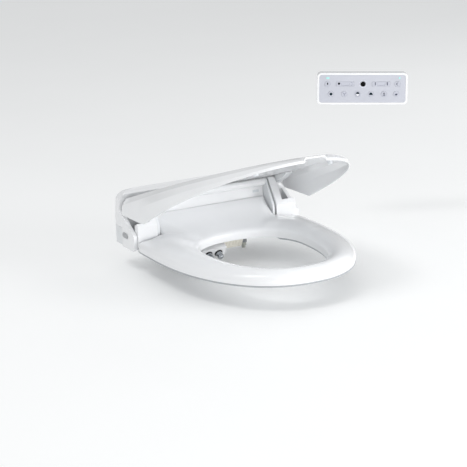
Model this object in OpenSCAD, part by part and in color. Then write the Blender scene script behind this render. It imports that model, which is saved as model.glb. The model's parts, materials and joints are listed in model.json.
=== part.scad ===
// Electric bidet seat for a back-to-wall pan, with its wall remote.
// +Z is up, the front of the seat points to -Y, and z = 0 is the rim of the pan.
// The origin lies midway between the two fixing bolts.
// The lid stands part open, as it does while its dampers lower it.

/* [Overall] */
// Length from the back of the unit to the front of the seat
seat_len = 480; // [440:1:560]
// Width of the seat ring
seat_w = 372; // [350:1:430]
// Width of the rear unit
unit_w = 374; // [344:1:420]
// Height of the unit's rear top edge above the rim
unit_h = 115; // [108:1:130]
// Distance from the bolt line back to the rear of the unit
bolt_back = 45; // [42:1:60]

/* [Seat] */
// Width of the opening
hole_w = 218; // [200:1:260]
// Width of the ring at its front
front_land = 39; // [34:1:70]
// Distance from the rear of the unit to the opening
rear_land = 146; // [130:1:170]
// Length of the opening's rear arc
rear_arc = 105; // [90:1:130]
// Height of the seat's outer edge
edge_z = 22; // [20:1:30]
// Height of the crown of the ring above its edges
crown_h = 10; // [3:1:12]
// Wall thickness of the seat shell
seat_wall = 3.5; // [3:0.25:4]
// Height of the rubber buffers under the seat
buffer_h = 5; // [4:0.5:7]

/* [Lid] */
// Angle that the lid stands open
lid_open = 26; // [0:1:60]
// Height of the closed lid's rear edge above the hinge axis
lid_rise = 13; // [13:1:16]
// Height of the closed lid at its front edge
lid_front_z = 48; // [44:1:60]
// Height of the lid's lower edge when it is closed
lid_skirt_z = 34; // [33:1:36]
// Thickness of the lid shell
lid_wall = 3; // [2:0.5:3.5]
// Width of the finger notch in the lid's front edge
notch_w = 50; // [30:1:80]
// Depth of the finger notch
notch_deep = 7; // [3:0.5:8]
// Place of the finger notch across the lid
notch_x = 22; // [-40:1:40]

/* [Hinge] */
// Distance of the hinge axis ahead of the bolt line
hinge_fwd = 5; // [4:0.5:6]
// Depth of the hinge axis below the unit's rear top edge
hinge_drop = 23; // [22:0.5:25]
// Height of the hinge axis above the rear of the seat
hinge_over = 30; // [29:0.5:33]
// Width of a hinge arm
arm_w = 15; // [12:0.5:17]
// Distance from the side of the unit to a lid arm
arm_inset = 20; // [19:0.5:30]
// Radius of the hinge shafts
shaft_r = 5; // [4:0.25:5]
// Radial running clearance on the shafts
run_fit = 0.05; // [0.02:0.01:0.1]

/* [Fixings] */
// Distance between the two fixing bolts
bolt_pitch = 155; // [140:1:170]
// Radius of the rubber expansion bushes
bush_r = 7.25; // [6.5:0.25:9]
// Length of the fixing bolts below the rim
bolt_drop = 42; // [36:1:60]
// Radius of the water inlet's thread
inlet_r = 10.4; // [9:0.1:11]

/* [Nozzles] */
// Place of the nozzle pair across the unit
nozzle_x = -40; // [-48:1:0]
// Radius of a nozzle tube
nozzle_r = 6.5; // [5:0.25:7]
// Angle of the nozzles below the horizontal
nozzle_dip = 29; // [26:1:31]

/* [Remote] */
// Width of the handset
remote_w = 190; // [180:1:220]
// Height of the handset
remote_h = 67; // [64:1:75]
// Thickness of the handset
remote_t = 22; // [22:1:26]
// Place of the handset's centre
remote_at = [381, 14, 254];
// Turn of the handset about the vertical
remote_turn = -27; // [-45:1:0]
// Lean of the handset to its right
remote_lean = 2.4; // [0:0.1:5]

/* [Hidden] */

gap = 0.3;                          // running or seating gap between bodies
round_n = 48;                       // sides of a drawn round
back_y = bolt_back;                 // rear face of the unit
front_y = back_y - seat_len;        // front of the seat
hinge_y = -hinge_fwd;
hinge_z = unit_h - hinge_drop;
unit_half = unit_w / 2;
hinge_half = min(unit_half, seat_w / 2 + 1); // the hinges lie within both the unit and the seat
body_y = back_y - 30;               // front wall of the rear body
panel_y = 0;                        // front face of the middle of the unit
floor_z = 4;                        // underside of the unit's floor
floor_t = 3;
floor_top = floor_z + floor_t;
wall = 3;
split_z = 40;                       // joint between the base and the top cover
channel_z = hinge_z - 14;           // floor of the groove that the lid's rear edge turns in
bracket_t = 5;                      // thickness of a hinge bracket
arm_gap = 2;                        // space between the arms of the hinge
cheek_t = 8;                        // thickness of a side cheek
lid_arm_x1 = hinge_half - arm_inset; // outer face of a lid arm
lid_arm_x0 = lid_arm_x1 - arm_w;
arm_x1 = lid_arm_x0 - arm_gap;      // outer face of a seat arm's knuckle
arm_x0 = arm_x1 - arm_w;            // inner face of a seat arm
arm_x2 = hinge_half - cheek_t - 0.6; // outer face of a seat arm's block, beside the cheek
bracket_x = arm_x0 - arm_gap - bracket_t; // inner face of a hinge bracket
tongue_half = bracket_x - 1.3;      // half width of the seat's rear tongue
cheek_front = -41;                  // front end of a cheek
ring_rear = -45;                    // rear wall of the seat ring
base_t = 3;                         // thickness of the seat's base
base_z = buffer_h;                  // underside of the seat's base
shell_z = base_z + base_t;          // lower edge of the seat shell
barrel_r = shaft_r + 2.5;           // hinge barrel of the front panel

function clamp(v, a, b) = max(a, min(b, v));
function mix(a, b, f) = a + (b - a) * f;
function power(v, p) = sign(v) * pow(abs(v), p);

// Draws a side profile of (y, z) points from x0 to x1
module side(x0, x1) {
    translate([x0, 0, 0]) rotate([90, 0, 90]) linear_extrude(x1 - x0) children();
}
// Draws a front profile of (x, z) points from y0 to y1
module front(y0, y1) {
    translate([0, y1, 0]) rotate([90, 0, 0]) linear_extrude(y1 - y0) children();
}
module both() {
    children();
    mirror([1, 0, 0]) children();
}
// A rod along X
module rod_x(x0, x1, r, y, z) {
    translate([x0, y, z]) rotate([0, 90, 0]) cylinder(r = r, h = x1 - x0, $fn = round_n);
}
module box(low, high) {
    translate(low) cube(high - low);
}
// An upright block with rounded corners
module block(low, high, r) {
    size = high - low;
    translate(low) linear_extrude(size[2]) union() {
        translate([r, 0]) square([size[0] - 2 * r, size[1]]);
        translate([0, r]) square([size[0], size[1] - 2 * r]);
        for (x = [r, size[0] - r], y = [r, size[1] - r]) translate([x, y]) circle(r, $fn = round_n);
    }
}
// A hexagon along X, standing on a corner
module hex_x(x0, x1, r, y, z) {
    translate([x0, y, z]) rotate([0, 90, 0]) cylinder(r = r, h = x1 - x0, $fn = 6);
}
// A rubber pad with a rounded foot, standing on z = 0
module pad_foot(r, h) {
    rotate_extrude($fn = round_n)
        polygon([[0, 0], [0.72 * r, 0], [0.9 * r, 0.4], [r, 1.4], [r, h], [0, h]]);
}
// A closed skin over a grid of loops: rings[i][j], where each ring is a closed loop
module torus_mesh(rings) {
    n = len(rings);
    m = len(rings[0]);
    polyhedron(
        points = [for (r = rings) each r],
        faces = [for (i = [0:n - 1]) for (j = [0:m - 1])
            let (k = (i + 1) % n, l = (j + 1) % m)
            each [[i * m + j, k * m + j, k * m + l], [i * m + j, k * m + l, i * m + l]]],
        convexity = 8);
}
// The same along an open row of loops, closed with a flat end at both sides
module bar_mesh(rings) {
    n = len(rings);
    m = len(rings[0]);
    polyhedron(
        points = [for (r = rings) each r],
        faces = concat(
            [for (i = [0:n - 2]) for (j = [0:m - 1]) let (k = i + 1, l = (j + 1) % m)
                each [[i * m + j, k * m + j, k * m + l], [i * m + j, k * m + l, i * m + l]]],
            [[for (j = [0:m - 1]) j], [for (j = [m - 1:-1:0]) (n - 1) * m + j]]),
        convexity = 8);
}

// ---- seat ring ----
hole_front = front_y + front_land;
hole_rear = back_y - rear_land;
hole_cy = hole_rear - rear_arc;
front_arc = hole_cy - hole_front;   // length of the opening's front arc
hole_n = 2.3;                       // squareness of the opening
ring_n = 2.23;                      // squareness of the front of the seat
ring_cy = front_y + 300;
edge_r = 7;                         // rounding of the seat's outer edge
lip_z = edge_z + 4;                 // height of the opening's edge
tongue_rise = hinge_z - hinge_over - edge_z;

front_steps = 30;
rear_heated = 3;                    // rays behind the front half that the heating foil reaches
function hole_polar(a) = let (b = sin(a) > 0 ? rear_arc : front_arc,
    r = pow(pow(abs(cos(a)) / (hole_w / 2), hole_n) + pow(abs(sin(a)) / b, hole_n), -1 / hole_n))
    [r * cos(a), hole_cy + r * sin(a)];
function ring_front(a) = [seat_w / 2 * power(cos(a), 2 / ring_n),
    ring_cy + (ring_cy - front_y) * power(sin(a), 2 / ring_n)];
// Right-hand rear of the seat's plan, from its side to the middle of the tongue
rear_plan = [[seat_w / 2, ring_rear - 22], [seat_w / 2 - 2, ring_rear - 10],
    [seat_w / 2 - 8, ring_rear - 2.5], [seat_w / 2 - 16, ring_rear],
    [arm_x0 + 18, ring_rear], [arm_x0, ring_rear], [tongue_half, ring_rear],
    [tongue_half, ring_rear + 15], [tongue_half, ring_rear + 30], [tongue_half, -3],
    for (f = [0.86, 0.67, 0.44, 0.22]) [tongue_half * f, -2]];
side_steps = 6;
side_turn = atan2(rear_plan[0][1] - hole_cy, rear_plan[0][0]);
rear_half = concat(
    [for (i = [1:side_steps - 1]) let (f = i / side_steps)
        [[seat_w / 2, mix(ring_cy, rear_plan[0][1], f)], hole_polar(f * side_turn)]],
    [for (p = rear_plan) [p, hole_polar(atan2(p[1] - hole_cy, p[0]))]]);
// Each ray joins a point of the outer plan to a point of the opening
rays = concat(
    [for (i = [0:front_steps]) let (a = 180 + 180 * i / front_steps)
        [ring_front(a), hole_polar(a)]],
    rear_half,
    [[[0, -2], hole_polar(90)]],
    [for (i = [len(rear_half) - 1:-1:0])
        [[-rear_half[i][0][0], rear_half[i][0][1]], [-rear_half[i][1][0], rear_half[i][1][1]]]]);

function tongue_at(x, y) = tongue_rise * pow(clamp((y + 85) / 80, 0, 1), 2)
    * clamp((tongue_half + 25 - abs(x)) / 24, 0, 1);
function seat_top(x, y, f) = mix(edge_z, lip_z, f) + crown_h * sin(180 * clamp(f, 0, 1))
    + tongue_at(x, y);
// Lower edge of the shell along its outside and along the opening
tongue_foot = hinge_z - 36;         // height of the tongue's rear lower edge, above the chute
function outer_foot(x, y) = y > -10 ? tongue_foot
    : y > ring_rear - 0.01 && abs(x) < tongue_half + 0.1
    ? mix(shell_z, tongue_foot - 10, clamp((y - ring_rear) / 42, 0, 1)) : shell_z;
function inner_foot(x, y) = y < hole_cy ? shell_z
    : mix(max(shell_z, chute_top(hole_rear) + 6), shell_z, clamp((abs(x) - chute_reach) / 22, 0, 1));
// A section of the shell from the outside edge over the top to the opening and back inside
outside_run = [[0, -9], [0, -edge_r], [0.12, -4.6], [0.3, -2.6], [0.6, -0.9], [1, 0]];
function seat_section(ray, t) = let (o = ray[0], i = ray[1], l = norm(i - o), u = (i - o) / l,
    at = function (d, dz) let (p = o + u * d) [p[0], p[1], seat_top(p[0], p[1], d / l) + dz],
    hard = o[1] > -10
        || (o[1] > ring_rear - 3 && abs(o[0]) > tongue_half + 0.1 && abs(o[0]) < arm_x2 + 6))
    concat(
        [[o[0], o[1], outer_foot(o[0], o[1])]],
        [for (s = outside_run) at(s[0] * edge_r, hard ? s[1] / 4 : s[1])],
        [for (f = [0.25, 0.45, 0.65, 0.82]) at(f * l, 0)],
        [at(l - 7, -0.4), at(l - 3, -1.8), at(l - 0.8, -3.6), at(l, -5.5)],
        [[i[0], i[1], inner_foot(i[0], i[1])]],
        let (q = i - u * t) [[q[0], q[1], inner_foot(i[0], i[1])]],
        [at(l - t, -2.2 - t), at(l - 10, -t - 0.6)],
        [for (f = [0.82, 0.65, 0.45, 0.25]) at(f * l, -t)],
        [at(edge_r + 1, -t - 0.2), at(t + 0.4, hard ? -t : -t - 2.2)],
        let (q = o + u * (t + 0.4)) [[q[0], q[1], outer_foot(o[0], o[1])]]);

module seat_shell() {
    color("white") torus_mesh([for (r = rays) seat_section(r, seat_wall)]);
}
// Plan of the ring between two shares of its width
module ring_band(f0, f1) {
    difference() {
        polygon([for (r = rays) mix(r[0], r[1], f0)]);
        polygon([for (r = rays) mix(r[0], r[1], f1)]);
    }
}
module seat_base() {
    rear_cut = chute_reach + 20;
    pocket = 1.2;                   // depth of the hollows in the underside
    color("whitesmoke") difference() {
        translate([0, 0, base_z]) linear_extrude(base_t) difference() {
            polygon([for (r = rays) if (abs(r[0][0]) > tongue_half + 0.1 || r[0][1] < ring_rear) r[0]]);
            polygon([for (r = rays) r[1]]);
            translate([-rear_cut, hole_rear - 40]) square([2 * rear_cut, 140]);
        }
        translate([0, 0, base_z - 1]) linear_extrude(1 + pocket) difference() {
            ring_band(0.2, 0.8);
            translate([-seat_w, hole_rear - 50]) square([2 * seat_w, 200]);
            for (p = buffer_spots) translate(p) circle(13, $fn = round_n);
            for (a = [15:30:165]) translate([0, hole_cy]) rotate(-a) square([seat_len, 3]);
        }
    }
}
// The heating foil is a horseshoe under the top of the ring, open at the rear
module seat_heater() {
    foil_t = 0.6;
    drop = seat_wall + 1.6;
    stops = [0.25, 0.45, 0.65, 0.82];
    heated = [for (k = [-rear_heated:front_steps + rear_heated]) rays[(k + len(rays)) % len(rays)]];
    color("silver") bar_mesh([for (r = heated) let (o = r[0], i = r[1])
        [for (k = [0, 1]) for (f = k == 0 ? stops : [for (n = [3:-1:0]) stops[n]])
            let (p = mix(o, i, f)) [p[0], p[1], seat_top(p[0], p[1], f) - drop - k * foil_t]]]);
}
module seat_hinge_arms() {
    knuckle_r = (lid_top(hinge_y) - lid_wall - hinge_z) * 0.99 - gap;
    hy = hinge_y;
    hz = hinge_z;
    top = hz - 34;                  // top of the block that carries the arm
    block = [[ring_rear, shell_z + 1], [ring_rear, top - 8], [ring_rear + 4, top], [-30, top - 6],
        [-30, shell_z + 1]];
    color("white") both() {
        difference() {
            side(arm_x0, arm_x1) {
                polygon([[ring_rear, shell_z + 1], [ring_rear, top - 8], [ring_rear + 4, top],
                    [hy - 6, hz + 8], [hy + 6, hz - 8], [-18, top - 6], [-30, shell_z + 1]]);
                translate([hy, hz]) circle(knuckle_r, $fn = round_n);
            }
            rod_x(arm_x0 - 1, arm_x1 + 1, shaft_r + run_fit, hy, hz);
        }
        side(arm_x1, arm_x2) polygon(block);
    }
}
// Each buffer lies on the middle of the ring
buffer_spots = [for (a = [200, 236, 304, 340]) let (f = 0.5) mix(ring_front(a), hole_polar(a), f)];
module seat_buffers() {
    color("gainsboro") for (p = buffer_spots) translate([p[0], p[1], 0]) pad_foot(9, buffer_h);
}

// ---- lid, drawn closed and then turned open about the hinge ----
module opened() {
    translate([0, hinge_y, hinge_z]) rotate([-lid_open, 0, 0])
        translate([0, -hinge_y, -hinge_z]) children();
}
lid_half = unit_half;
lid_top_y = back_y - 42;            // rear edge of the lid's top
lid_rear_z = hinge_z + lid_rise;
lid_apex = [back_y - 24, channel_z - 1]; // rear lower point of the lid's side
lid_corner = [back_y - 118, lid_skirt_z];
lid_bevel = 14;                     // width of the bevel at the rear
lid_slope = (lid_rear_z - lid_front_z) / (lid_top_y - front_y);
lid_cy = front_y + 300;
lid_n = 2.15;
lid_steps = 30;
function lid_top(y) = lid_rear_z - lid_slope * (lid_top_y - y);
function lid_foot(y) = y <= lid_corner[0] ? lid_skirt_z
    : mix(lid_skirt_z, lid_apex[1], clamp((y - lid_corner[0]) / (lid_apex[0] - lid_corner[0]), 0, 1));
// Height of the crease between the skirt and the bevel
function lid_crease(y) = max(lid_foot(y) + (y > lid_apex[0] - 8 ? 0.8 : 4),
    mix(lid_skirt_z + 5, lid_apex[1], clamp((y - front_y - 60) / (lid_apex[0] - front_y - 60), 0, 1)));
function lid_front(a) = [lid_half * power(cos(a), 2 / lid_n),
    lid_cy + (lid_cy - front_y) * power(sin(a), 2 / lid_n)];
lid_side_y = [-100, -73, -45, -25, -8, 8];
// Angle on the front curve where it is x from the middle
function front_angle(x) = 360 - acos(power(x / lid_half, lid_n / 2));
notch_ramp = 3;
notch_angles = [for (x = [-notch_w / 2, notch_ramp - notch_w / 2, notch_w / 2 - notch_ramp, notch_w / 2])
    front_angle(notch_x + x)];
lid_angles = concat(
    [for (i = [0:lid_steps]) let (a = 180 + 180 * i / lid_steps) if (a < notch_angles[0] - 1) a],
    [notch_angles[0], notch_angles[1]],
    [for (i = [0:lid_steps]) let (a = 180 + 180 * i / lid_steps)
        if (a > notch_angles[1] + 1 && a < notch_angles[2] - 1) a],
    [notch_angles[2], notch_angles[3]],
    [for (i = [0:lid_steps]) let (a = 180 + 180 * i / lid_steps) if (a > notch_angles[3] + 1) a]);
lid_plan = concat(
    [for (a = lid_angles) lid_front(a)],
    [for (y = lid_side_y) [lid_half, y]], [[lid_half, lid_apex[0]]]);
lid_rear_x = [150, 120, 80, 40, 0, -40, -80, -120, -150];
lid_core = [0, -190];
module lid_shell() {
    color("white") opened() lid_body();
}
// A point of the rim moved by d towards the middle of the lid
function lid_point(p, d, z) = let (u = (lid_core - p) / norm(lid_core - p))
    [p[0] + u[0] * d, p[1] + u[1] * d, z];
lid_rim = concat(lid_plan,
    [for (x = lid_rear_x) [x * lid_half / 174, lid_top_y]],
    [for (i = [len(lid_side_y):-1:0]) let (y = i == len(lid_side_y) ? lid_apex[0] : lid_side_y[i])
        [-lid_half, y]]);
// True where a rim point lies on the lid's rear edge
function on_rear(p) = p[1] >= lid_top_y - 0.01 && abs(p[0]) < lid_half - 1;
function notch_at(p) = p[1] > front_y + 60 ? 0
    : notch_deep * clamp((notch_w / 2 - abs(p[0] - notch_x)) / notch_ramp, 0, 1);
function rim_foot(p) = on_rear(p) ? lid_rear_z - lid_wall - 0.4 : lid_foot(p[1]) + notch_at(p);
function rim_crease(p) = on_rear(p) ? lid_rear_z - 1.2
    : max(lid_crease(p[1]), rim_foot(p) + (notch_at(p) > 0 ? 3 : 0));
// Width of the bevel: it pulls the top of the sides in to the rear edge of the top
function rim_bevel(p) = on_rear(p) ? 1.5 : mix(26, lid_bevel, clamp((p[1] + 330) / 300, 0, 1));
function top_point(p, d, dz) = let (q = lid_point(p, d, 0), y = min(q[1], lid_top_y))
    [q[0], y, lid_top(y) + dz];
// Loops of the outer skin (t = 0) or of the inner skin, from the lower edge to the top
function lid_loops(t) = let (skin = t > 0 ? 1 : 0) [
    [for (p = lid_rim) lid_point(p, 2.5 * skin, rim_foot(p))],
    [for (p = lid_rim) on_rear(p) ? lid_point(p, 0.1 + 2.5 * skin, rim_foot(p) + 2.2 * (1 - skin))
        : lid_point(p, 0.3 + 2.7 * skin, rim_crease(p) - t * 0.6)],
    [for (p = lid_rim) let (b = rim_bevel(p), c = rim_crease(p), e = lid_top(min(p[1], lid_top_y)),
        q = lid_point(p, b * 0.35 + t * 0.7, 0))
        on_rear(p) ? top_point(p, 0.5 + 2.3 * skin, -0.7 - 2.7 * skin)
        : [q[0], min(q[1], mix(p[1], lid_top_y, 0.35)), mix(c, e, 0.6) - t]],
    [for (p = lid_rim) top_point(p, rim_bevel(p) + t * 0.5, -0.6 * (1 - skin) - t - 0.2 * skin)],
    [for (p = lid_rim) top_point(p, rim_bevel(p) + 10, -t)],
    [for (p = lid_rim) top_point(p, norm(lid_core - p) * 0.45, -t)],
    [for (p = lid_rim) top_point(p, norm(lid_core - p) * 0.75, -t)]];
module lid_body() {
    outer = lid_loops(0);
    inner = lid_loops(lid_wall);
    loops = concat([for (i = [len(inner) - 1:-1:0]) inner[i]], outer);
    k = len(lid_rim);
    n = len(loops);
    low = [lid_core[0], lid_core[1], lid_top(lid_core[1]) - lid_wall];
    high = [lid_core[0], lid_core[1], lid_top(lid_core[1])];
    polyhedron(
        points = concat([for (r = loops) each r], [low, high]),
        faces = concat(
            [for (i = [0:n - 2]) for (j = [0:k - 1]) let (a = i * k + j, b = i * k + (j + 1) % k)
                each [[a, b, b + k], [a, b + k, a + k]]],
            [for (j = [0:k - 1]) [j, n * k, (j + 1) % k]],
            [for (j = [0:k - 1]) [(n - 1) * k + j, (n - 1) * k + (j + 1) % k, n * k + 1]]),
        convexity = 8);
}
module lid_hinge_arms() {
    under = lid_wall + gap;
    reach = -62;
    color("white") opened() both() difference() {
        side(lid_arm_x0, lid_arm_x1) {
            polygon([[hinge_y - 6, hinge_z + 3], [hinge_y - 6, lid_top(hinge_y - 6) - under],
                [reach, lid_top(reach) - under], [reach, lid_top(reach) - under - 4],
                [hinge_y - 25, hinge_z - 6], [hinge_y - 3, hinge_z - 6]]);
            translate([hinge_y, hinge_z]) circle(barrel_r, $fn = round_n);
        }
        rod_x(lid_arm_x0 - 1, lid_arm_x1 + 1, shaft_r + run_fit, hinge_y, hinge_z);
    }
}
lid_buffer_spots = [for (s = [-1, 1]) [s * lid_half * 0.417, front_y + 54]];
module lid_buffers() {
    foot = edge_z + crown_h + 3;
    color("white") opened() for (p = lid_buffer_spots) translate([p[0], p[1], foot])
        pad_foot(5, lid_top(p[1] - 5) - lid_wall - 2.4 - foot);
}

// ---- unit ----
// Outline of the unit seen from the front
unit_corner = [[0, -17], [-4, -10], [-13, -4], [-46, 1]]; // top corner, from the side inwards
unit_front = concat([[-unit_half, 0], [unit_half, 0]],
    [for (c = unit_corner) [unit_half + c[0], unit_h + c[1]]],
    [for (i = [3:-1:0]) [-unit_half - unit_corner[i][0], unit_h + unit_corner[i][1]]]);
// Side profile of the rear body, from the rear foot round to the front
rear_top = [back_y - 14, unit_h];
function rear_profile(t) = [[back_y - t, floor_z + t], [back_y - t, hinge_z - 32],
    [back_y - 9 - t, unit_h - 11], [back_y - 12 - t, unit_h - 3], [rear_top[0] - 2 - t * 0.4, unit_h - t],
    [back_y - 31 + t, unit_h - 7.5 - t], [back_y - 27 + t, hinge_z], [back_y - 21.5 + t, channel_z],
    [back_y - 21.5 + t, channel_z - 6], [body_y + t, channel_z - 12], [body_y + t, floor_z + t]];
module rear_body(t) {
    inset = t * 1.0;
    intersection() {
        side(-unit_half + inset, unit_half - inset) polygon(rear_profile(t));
        front(-60, 60) offset(delta = -t) polygon(unit_front);
    }
}
module top_cover() {
    color("white") difference() {
        rear_body(0);
        rear_body(wall);
        box([-unit_half - 1, -60, -1], [unit_half + 1, 60, split_z]);
        box([-tongue_half - 1, body_y - 1, 0], [tongue_half + 1, body_y + wall + 0.5, channel_z - wall - 3]);
        cord_hole();
        cartridge(gap);
    }
}
rail_t = 1.5;                       // thickness of the lips that hold the unit on the plate
module base_housing() {
    lip = split_z - gap;
    color("whitesmoke") {
        difference() {
            rear_body(0);
            rear_body(wall);
            box([-unit_half - 1, -60, lip], [unit_half + 1, 60, 200]);
            box([-tongue_half - 1, body_y - 1, floor_top], [tongue_half + 1, body_y + wall + 0.5, 200]);
            inlet_hole();
            cord_hole();
            at_screws() translate([0, 0, floor_z - 1]) cylinder(r = screw_r + gap, h = wall + 2, $fn = 24);
            translate([drain_at[0], drain_at[1], floor_z - 1])
                cylinder(r = drain_r + gap, h = wall + 2, $fn = round_n);
            // Air inlet under the fan
            for (i = [0:3]) box([fan_x0 + 5 + 7 * i, back_y - 25, floor_z - 1],
                [fan_x0 + 8 + 7 * i, back_y - 9, floor_top + 1]);
        }
        difference() {
            box([-tongue_half - 1, panel_y, floor_z], [tongue_half + 1, body_y, floor_top]);
            chute(1.5 + gap, 80);
        }
        both() box([bracket_x, cheek_front, floor_z], [unit_half - cheek_t - gap, body_y, floor_top - 1]);
        // Rails that slide over the edges of the mounting plate
        both() front(panel_y, back_y - 11) polygon([[plate_half + gap, floor_z + 1],
            [plate_half + gap, gap + rail_t], [plate_half - 5, gap + rail_t], [plate_half - 5, gap],
            [plate_half + gap + 3, gap], [plate_half + gap + 3, floor_z + 1]]);
    }
}
module front_panel() {
    hy = hinge_y;
    hz = hinge_z;
    color("white") difference() {
        union() {
            side(-tongue_half - 1, tongue_half + 1) {
                polygon([[panel_y, floor_top + gap], [panel_y, hz], [panel_y + 2, hz],
                    [panel_y + 2, channel_z], [body_y - gap, channel_z], [body_y - gap, channel_z - wall],
                    [panel_y + wall, channel_z - wall], [panel_y + wall, floor_top + gap]]);
                translate([hy, hz]) circle(barrel_r, $fn = round_n);
            }
            both() side(tongue_half - 2, tongue_half + 1) polygon([[panel_y, floor_top + gap],
                [body_y - gap, floor_top + gap], [body_y - gap, channel_z], [panel_y, channel_z]]);
        }
        rod_x(-tongue_half - 2, tongue_half + 2, shaft_r + gap, hy, hz);
        chute(1.5 + gap, 80);
        duct_space(gap);
    }
}
// Side arms of the unit with the sloping edge that the lid's side closes onto
module side_cheeks() {
    color("white") difference() {
        both() side(unit_half - cheek_t, unit_half) polygon([[body_y - gap, 1], [cheek_front + 8, 1],
            [cheek_front, 6], [back_y - 88, 33], [body_y - gap, channel_z - 10]]);
        button_hole();
    }
}
module hinge_brackets() {
    hy = hinge_y;
    hz = hinge_z;
    color("whitesmoke") both() difference() {
        side(bracket_x, bracket_x + bracket_t) {
            polygon([[body_y - gap, floor_top - 1], [body_y - gap, channel_z], [panel_y + 1.8, channel_z],
                [panel_y + 1.8, hz], [hy - 7, hz], [-40, hz - 42], [cheek_front, hz - 52],
                [cheek_front, floor_top - 1]]);
            translate([hy, hz]) circle(barrel_r, $fn = round_n);
        }
        rod_x(bracket_x - 1, bracket_x + bracket_t + 1, shaft_r + 0.02, hy, hz);
    }
}
shaft_in = tongue_half - 31;        // inner end of a hinge shaft
module hinge_shafts() {
    color("silver") both() rod_x(shaft_in, lid_arm_x1 + 1, shaft_r, hinge_y, hinge_z);
}
module soft_close_dampers() {
    color("dimgray") both() rod_x(shaft_in - 46, shaft_in, shaft_r, hinge_y, hinge_z);
}
chute_half = 27;
tank_x0 = -unit_half + wall + 12;
tank_x1 = min(tank_x0 + 92, nozzle_x - chute_half - 10); // clear of the nozzle housing
tank_top = hinge_z - 34;
module water_tank() {
    y0 = body_y + wall + 2;
    y1 = back_y - 7;
    mid = (y0 + y1) / 2;
    flange = tank_top - 6;
    heater_x = mix(tank_x0, tank_x1, 0.3);
    color("gainsboro") {
        block([tank_x0, y0, floor_top], [tank_x1, y1, flange], 4);
        block([tank_x0 - 1.5, y0 - 1.5, flange], [tank_x1 + 1.5, y1 + 1.5, flange + 3], 5);
        block([tank_x0 + 3, y0 + 3, flange], [tank_x1 - 3, y1 - 3, tank_top], 3);
        for (i = [1:4]) let (x = mix(tank_x0, tank_x1, i / 5))
            box([x - 1, y1 - 1, floor_top], [x + 1, y1 + 1.5, flange]);
        // Heater flange with its two terminals
        translate([heater_x, mid, tank_top]) cylinder(r = 7, h = 2.5, $fn = 6);
        for (d = [-3, 3]) translate([heater_x + d, mid, tank_top]) cylinder(r = 1.2, h = 7, $fn = 24);
        // Level sensor and outlet
        translate([mix(tank_x0, tank_x1, 0.59), mid, tank_top]) cylinder(r = 4.5, h = 4, $fn = round_n);
        translate([mix(tank_x0, tank_x1, 0.83), mid, tank_top]) cylinder(r = 3, h = 7.5, $fn = round_n);
    }
}
valve_x = unit_half - 48;
module solenoid_valve() {
    yc = back_y - 17;
    zc = floor_top + 15;
    coil_x = valve_x + 14;
    coil_h = min(26, cartridge_low[2] - 5 - zc);
    color("dimgray") {
        rod_x(valve_x, unit_half - 8, 8, yc, zc);
        rod_x(valve_x - 7, valve_x, 3, yc, zc);
        hex_x(unit_half - 15, unit_half - 9, 9.2, yc, zc);
        box([valve_x + 4, yc - 8, floor_top], [valve_x + 26, yc + 8, zc]);
        // Coil in its steel frame, with the nut that holds it
        translate([coil_x, yc, zc]) cylinder(r = 7, h = coil_h, $fn = round_n);
        difference() {
            box([coil_x - 9, yc - 8.5, zc + coil_h * 0.35], [coil_x + 9, yc + 8.5, zc + coil_h * 0.96]);
            box([coil_x - 7.5, yc - 9, zc + coil_h * 0.4], [coil_x + 7.5, yc + 9, zc + coil_h * 0.91]);
        }
        translate([coil_x, yc, zc + coil_h - 1]) cylinder(r = 4, h = 3, $fn = 6);
        for (d = [-3, 3]) box([coil_x + 8, yc + d - 0.4, zc + coil_h * 0.54],
            [coil_x + 15, yc + d + 0.4, zc + coil_h * 0.73]);
    }
}
module water_inlet() {
    yc = back_y - 17;
    zc = floor_top + 15;
    color("silver") difference() {
        union() {
            rod_x(unit_half - 8, unit_half + 14, inlet_r, yc, zc);
            hex_x(unit_half, unit_half + 3, inlet_r + 3.4, yc, zc);
        }
        rod_x(unit_half - 4, unit_half + 15, 6, yc, zc);
    }
}
module inlet_hole() {
    rod_x(unit_half - 20, unit_half + 1, inlet_r + gap, back_y - 17, floor_top + 15);
}
pump_x0 = valve_x - 47;
module water_pump() {
    x0 = pump_x0;
    yc = back_y - 18;
    zc = floor_top + 29;
    color("slategray") {
        block([x0, yc - 10, floor_top], [x0 + 34, yc + 10, floor_top + 23], 3);
        rod_x(x0 + 4, x0 + 30, 9, yc, zc);
        rod_x(x0 + 30, x0 + 33, 5, yc, zc);
        rod_x(x0 + 1, x0 + 4, 6.5, yc, zc);
        for (z = [7, 14]) rod_x(x0 - 7, x0, 2.6, yc, floor_top + z);
        // Eared feet with their screws
        for (x = [-3, 37]) translate([x0 + x, yc, floor_top]) cylinder(r = 3, h = 2.5, $fn = round_n);
        box([x0 - 3, yc - 3, floor_top], [x0 + 37, yc + 3, floor_top + 2.5]);
    }
}
// Chute that carries the nozzle pair down and forward under the seat
chute_pivot = [back_y - 35, hinge_z - 44];
chute_deep = 12;
chute_len = 124;
module dipped() {
    translate([nozzle_x, chute_pivot[0], chute_pivot[1]]) rotate([nozzle_dip, 0, 0]) children();
}
module chute(grow, rear) {
    dipped() box([-chute_half - grow, -chute_len - grow, -chute_deep - grow],
        [chute_half + grow, rear, chute_deep + grow]);
}
nozzle_gap = 22;
module nozzle_bores(r) {
    for (s = [-1, 1]) translate([s * nozzle_gap / 2, 30, -1]) rotate([90, 0, 0])
        cylinder(r = r, h = chute_len + 40, $fn = round_n);
}
module nozzle_housing() {
    color("white") dipped() difference() {
        box([-chute_half, -chute_len, -chute_deep], [chute_half, 12, chute_deep]);
        nozzle_bores(nozzle_r + gap);
        translate([0, -chute_len - 1, -chute_deep - 1]) rotate([0, 0, 0])
            box([-chute_half - 1, 0, 0], [chute_half + 1, 14, 6]);
    }
}
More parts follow.
